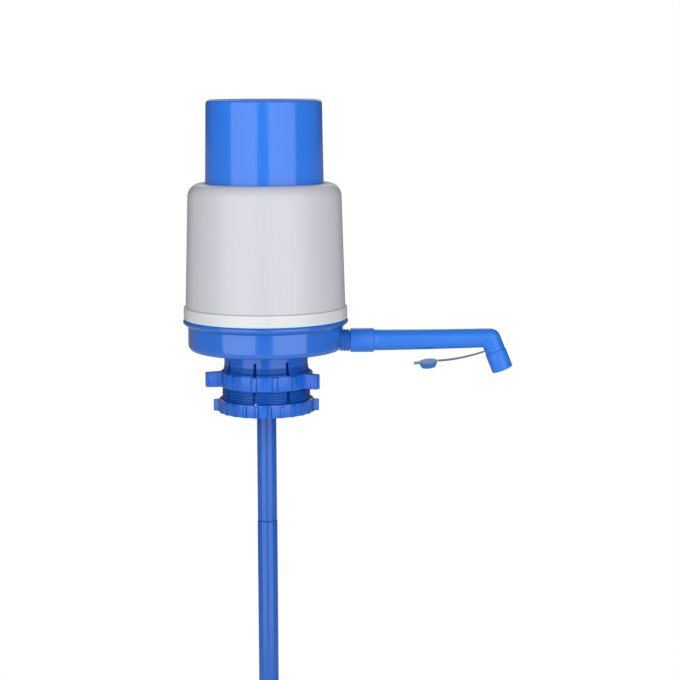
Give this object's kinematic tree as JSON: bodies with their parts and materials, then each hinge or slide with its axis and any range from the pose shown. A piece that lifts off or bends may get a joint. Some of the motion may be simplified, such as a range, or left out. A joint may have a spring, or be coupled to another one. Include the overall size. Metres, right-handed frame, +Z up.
{
  "type": "water jug hand pump",
  "caption": "Hand pump for a water jug: a press cap works a bellows above a neck clamp, and water leaves by a swivelling bent spout.",
  "frame": {"origin": "on the pump's axis, in the plane where the neck gasket sits on the bottle's lip", "axes": "+Z up along the pump's axis towards the press cap, +X from the axis towards the spout"},
  "size_m": [0.2434, 0.1218, 0.625],
  "materials": {
    "cap_blue": "glossy mid blue",
    "shell_grey": "smooth pale lavender grey",
    "band_white": "smooth off-white",
    "base_blue": "glossy blue",
    "collar_blue": "glossy deep translucent blue",
    "spout_blue": "glossy translucent blue",
    "bellows_white": "soft matt white",
    "valve_rubber": "soft silicone",
    "gasket_rubber": "soft matt white",
    "seal_rubber": "matt black",
    "tube_blue": "smooth translucent blue",
    "strap_grey": "soft flexible grey"
  },
  "bodies": {
    "pump_base": {"base_bowl": "base_blue", "housing_band": "band_white", "upper_housing": "shell_grey", "valve_plate": "band_white", "bellows": "bellows_white", "bellows_clamp_ring": "band_white", "neck_gasket": "gasket_rubber", "split_collar": "collar_blue", "spout_o_ring": "seal_rubber", "dip_tube_upper": "tube_blue", "dip_tube_middle": "tube_blue", "dip_tube_lower": "tube_blue"},
    "cap": {"press_cap": "cap_blue"},
    "intake": {"intake_valve": "valve_rubber"},
    "delivery": {"delivery_valve": "valve_rubber"},
    "upper_clamp": {"wing_ring": "collar_blue"},
    "lower_clamp": {"lower_ring": "collar_blue"},
    "spout": {"spout": "spout_blue"},
    "strap_collar": {"strap_ring": "spout_blue"},
    "plug": {"plug_strap": "strap_grey", "outlet_plug": "cap_blue"}
  },
  "joints": [
    {"name": "cap_press", "type": "slide", "parent": "pump_base", "child": "cap", "axis": [0, 0, -1], "range_m": [0, 0.053], "stiffness_N_per_m": 350, "springref_m": -0.02, "deforming": ["bellows"]},
    {"name": "intake_lift", "type": "slide", "parent": "pump_base", "child": "intake", "axis": [0, 0, 1], "range_m": [0, 0.0018]},
    {"name": "delivery_drop", "type": "slide", "parent": "pump_base", "child": "delivery", "axis": [0, 0, -1], "range_m": [0, 0.0018], "stiffness_N_per_m": 8, "springref_m": -0.0006},
    {"name": "wing_ring_turn", "type": "hinge", "parent": "pump_base", "child": "upper_clamp", "pos_m": [0, 0, -0.02005], "axis": [0, 0, 1], "range_deg": [-180, 180]},
    {"name": "lower_ring_turn", "type": "hinge", "parent": "pump_base", "child": "lower_clamp", "pos_m": [0, 0, -0.04015], "axis": [0, 0, 1], "range_deg": [-180, 180]},
    {"name": "spout_turn", "type": "hinge", "parent": "pump_base", "child": "spout", "pos_m": [0.0624, 0, 0.00755], "axis": [1, 0, 0], "continuous": true},
    {"name": "strap_ring_turn", "type": "hinge", "parent": "spout", "child": "strap_collar", "pos_m": [0.16902, 0, 0.00122], "axis": [0.3681, 0, -0.9298], "continuous": true},
    {"name": "strap_flex", "type": "hinge", "parent": "strap_collar", "child": "plug", "pos_m": [0.16167, 0, -0.00169], "axis": [0, -1, 0], "range_deg": [-5, 80], "stiffness_Nm_per_rad": 0.006, "springref_deg": -2.46}
  ]
}
